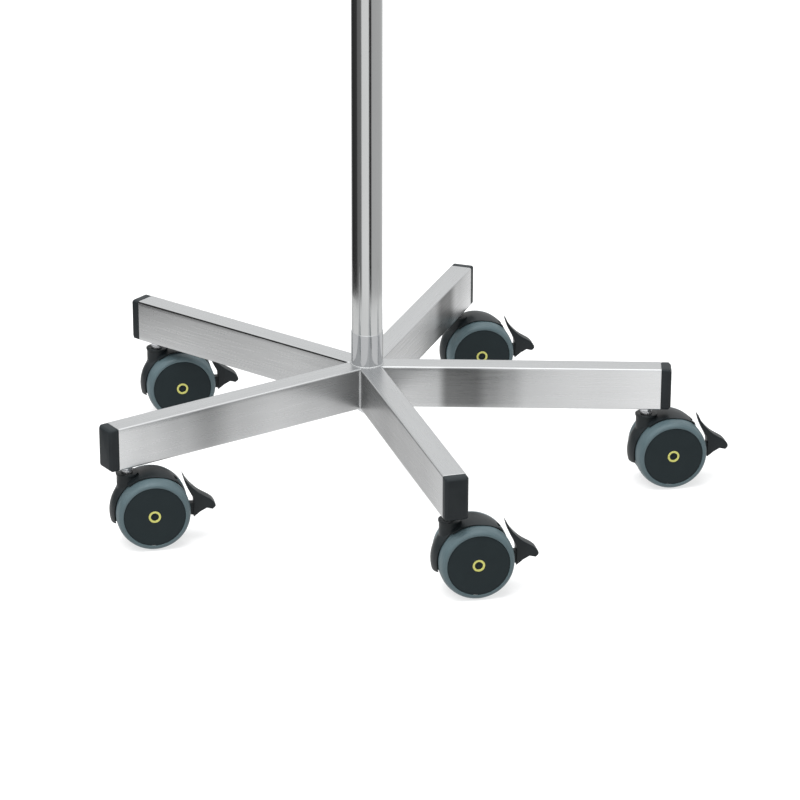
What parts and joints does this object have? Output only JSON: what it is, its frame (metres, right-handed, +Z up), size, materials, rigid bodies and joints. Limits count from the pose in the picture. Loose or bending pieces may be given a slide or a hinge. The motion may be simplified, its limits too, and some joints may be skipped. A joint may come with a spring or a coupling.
{
  "type": "wheeled infusion stand",
  "caption": "Wheeled infusion stand: star base of box-tube legs on braked twin-wheel casters, telescopic round pole with clamp knob and a hook head.",
  "frame": {"origin": "on the floor, on the axis of the pole", "axes": "+Z up along the pole; +X along the first leg within 2 degrees, and the way all casters trail within 11 degrees"},
  "size_m": [0.6453, 0.6171, 1.3039],
  "materials": {
    "brushed_stainless": "fine linear grind along each tube",
    "polished_stainless": "satin polished tube",
    "zinc_steel": "bright zinc plate",
    "cap_plastic": "moulded charcoal plastic",
    "housing_plastic": "moulded black nylon, fine grain",
    "wheel_plastic": "moulded dark slate nylon",
    "tyre_rubber": "blue-grey non-marking rubber",
    "bush_plastic": "moulded acetal",
    "knob_plastic": "moulded black knob"
  },
  "bodies": {
    "base": {"leg1": "brushed_stainless", "leg1_end_cap": "cap_plastic", "leg2": "brushed_stainless", "leg2_end_cap": "cap_plastic", "leg3": "brushed_stainless", "leg3_end_cap": "cap_plastic", "leg4": "brushed_stainless", "leg4_end_cap": "cap_plastic", "leg5": "brushed_stainless", "leg5_end_cap": "cap_plastic", "hub_sleeve": "brushed_stainless", "pole_tube": "polished_stainless", "pole_insert": "zinc_steel", "hub_bolt": "zinc_steel", "hub_washer": "zinc_steel", "caster_stems": "zinc_steel", "stem_nuts": "zinc_steel", "guide_bush": "bush_plastic", "clamp_collar": "brushed_stainless"},
    "mast": {"inner_mast": "polished_stainless", "hook_head": "brushed_stainless", "hooks": "polished_stainless", "hook_tips": "cap_plastic"},
    "knob": {"clamp_knob": "knob_plastic", "clamp_screw": "zinc_steel"},
    "caster1": {"caster1_housing": "housing_plastic", "caster1_axle": "zinc_steel"},
    "caster1_left": {"caster1_left_wheel": "wheel_plastic", "caster1_left_tyre": "tyre_rubber"},
    "caster1_right": {"caster1_right_wheel": "wheel_plastic", "caster1_right_tyre": "tyre_rubber"},
    "caster1_pedal": {"caster1_brake_pedal": "housing_plastic"},
    "caster2": {"caster2_housing": "housing_plastic", "caster2_axle": "zinc_steel"},
    "caster2_left": {"caster2_left_wheel": "wheel_plastic", "caster2_left_tyre": "tyre_rubber"},
    "caster2_right": {"caster2_right_wheel": "wheel_plastic", "caster2_right_tyre": "tyre_rubber"},
    "caster2_pedal": {"caster2_brake_pedal": "housing_plastic"},
    "caster3": {"caster3_housing": "housing_plastic", "caster3_axle": "zinc_steel"},
    "caster3_left": {"caster3_left_wheel": "wheel_plastic", "caster3_left_tyre": "tyre_rubber"},
    "caster3_right": {"caster3_right_wheel": "wheel_plastic", "caster3_right_tyre": "tyre_rubber"},
    "caster3_pedal": {"caster3_brake_pedal": "housing_plastic"},
    "caster4": {"caster4_housing": "housing_plastic", "caster4_axle": "zinc_steel"},
    "caster4_left": {"caster4_left_wheel": "wheel_plastic", "caster4_left_tyre": "tyre_rubber"},
    "caster4_right": {"caster4_right_wheel": "wheel_plastic", "caster4_right_tyre": "tyre_rubber"},
    "caster4_pedal": {"caster4_brake_pedal": "housing_plastic"},
    "caster5": {"caster5_housing": "housing_plastic", "caster5_axle": "zinc_steel"},
    "caster5_left": {"caster5_left_wheel": "wheel_plastic", "caster5_left_tyre": "tyre_rubber"},
    "caster5_right": {"caster5_right_wheel": "wheel_plastic", "caster5_right_tyre": "tyre_rubber"},
    "caster5_pedal": {"caster5_brake_pedal": "housing_plastic"}
  },
  "joints": [
    {"name": "mast_slide", "type": "slide", "parent": "base", "child": "mast", "axis": [0, 0, 1], "range_m": [0, 0.8]},
    {"name": "knob_turn", "type": "hinge", "parent": "base", "child": "knob", "pos_m": [0, 0, 1.2175], "axis": [0, -1, 0], "range_deg": [0, 270]},
    {"name": "caster1_swivel", "type": "hinge", "parent": "base", "child": "caster1", "pos_m": [0.29032, -0.01014, 0.069], "axis": [0, 0, 1], "continuous": true},
    {"name": "caster1_left_spin", "type": "hinge", "parent": "caster1", "child": "caster1_left", "pos_m": [0.31392, -0.00577, 0.0375], "axis": [-0.1822, 0.9833, 0], "continuous": true},
    {"name": "caster1_right_spin", "type": "hinge", "parent": "caster1", "child": "caster1_right", "pos_m": [0.31392, -0.00577, 0.0375], "axis": [-0.1822, 0.9833, 0], "continuous": true},
    {"name": "caster1_brake", "type": "hinge", "parent": "caster1", "child": "caster1_pedal", "pos_m": [0.3444, -0.00012, 0.0345], "axis": [-0.1822, 0.9833, 0], "range_deg": [0, 18]},
    {"name": "caster2_swivel", "type": "hinge", "parent": "base", "child": "caster2", "pos_m": [0.09936, 0.27298, 0.069], "axis": [0, 0, 1], "continuous": true},
    {"name": "caster2_left_spin", "type": "hinge", "parent": "caster2", "child": "caster2_left", "pos_m": [0.12295, 0.27735, 0.0375], "axis": [-0.1822, 0.9833, 0], "continuous": true},
    {"name": "caster2_right_spin", "type": "hinge", "parent": "caster2", "child": "caster2_right", "pos_m": [0.12295, 0.27735, 0.0375], "axis": [-0.1822, 0.9833, 0], "continuous": true},
    {"name": "caster2_brake", "type": "hinge", "parent": "caster2", "child": "caster2_pedal", "pos_m": [0.15344, 0.283, 0.0345], "axis": [-0.1822, 0.9833, 0], "range_deg": [0, 18]},
    {"name": "caster3_swivel", "type": "hinge", "parent": "base", "child": "caster3", "pos_m": [-0.22892, 0.17885, 0.069], "axis": [0, 0, 1], "continuous": true},
    {"name": "caster3_left_spin", "type": "hinge", "parent": "caster3", "child": "caster3_left", "pos_m": [-0.20532, 0.18322, 0.0375], "axis": [-0.1822, 0.9833, 0], "continuous": true},
    {"name": "caster3_right_spin", "type": "hinge", "parent": "caster3", "child": "caster3_right", "pos_m": [-0.20532, 0.18322, 0.0375], "axis": [-0.1822, 0.9833, 0], "continuous": true},
    {"name": "caster3_brake", "type": "hinge", "parent": "caster3", "child": "caster3_pedal", "pos_m": [-0.17484, 0.18887, 0.0345], "axis": [-0.1822, 0.9833, 0], "range_deg": [0, 18]},
    {"name": "caster4_swivel", "type": "hinge", "parent": "base", "child": "caster4", "pos_m": [-0.24083, -0.16245, 0.069], "axis": [0, 0, 1], "continuous": true},
    {"name": "caster4_left_spin", "type": "hinge", "parent": "caster4", "child": "caster4_left", "pos_m": [-0.21724, -0.15807, 0.0375], "axis": [-0.1822, 0.9833, 0], "continuous": true},
    {"name": "caster4_right_spin", "type": "hinge", "parent": "caster4", "child": "caster4_right", "pos_m": [-0.21724, -0.15807, 0.0375], "axis": [-0.1822, 0.9833, 0], "continuous": true},
    {"name": "caster4_brake", "type": "hinge", "parent": "caster4", "child": "caster4_pedal", "pos_m": [-0.18676, -0.15242, 0.0345], "axis": [-0.1822, 0.9833, 0], "range_deg": [0, 18]},
    {"name": "caster5_swivel", "type": "hinge", "parent": "base", "child": "caster5", "pos_m": [0.08007, -0.27925, 0.069], "axis": [0, 0, 1], "continuous": true},
    {"name": "caster5_left_spin", "type": "hinge", "parent": "caster5", "child": "caster5_left", "pos_m": [0.10367, -0.27487, 0.0375], "axis": [-0.1822, 0.9833, 0], "continuous": true},
    {"name": "caster5_right_spin", "type": "hinge", "parent": "caster5", "child": "caster5_right", "pos_m": [0.10367, -0.27487, 0.0375], "axis": [-0.1822, 0.9833, 0], "continuous": true},
    {"name": "caster5_brake", "type": "hinge", "parent": "caster5", "child": "caster5_pedal", "pos_m": [0.13415, -0.26922, 0.0345], "axis": [-0.1822, 0.9833, 0], "range_deg": [0, 18]}
  ]
}
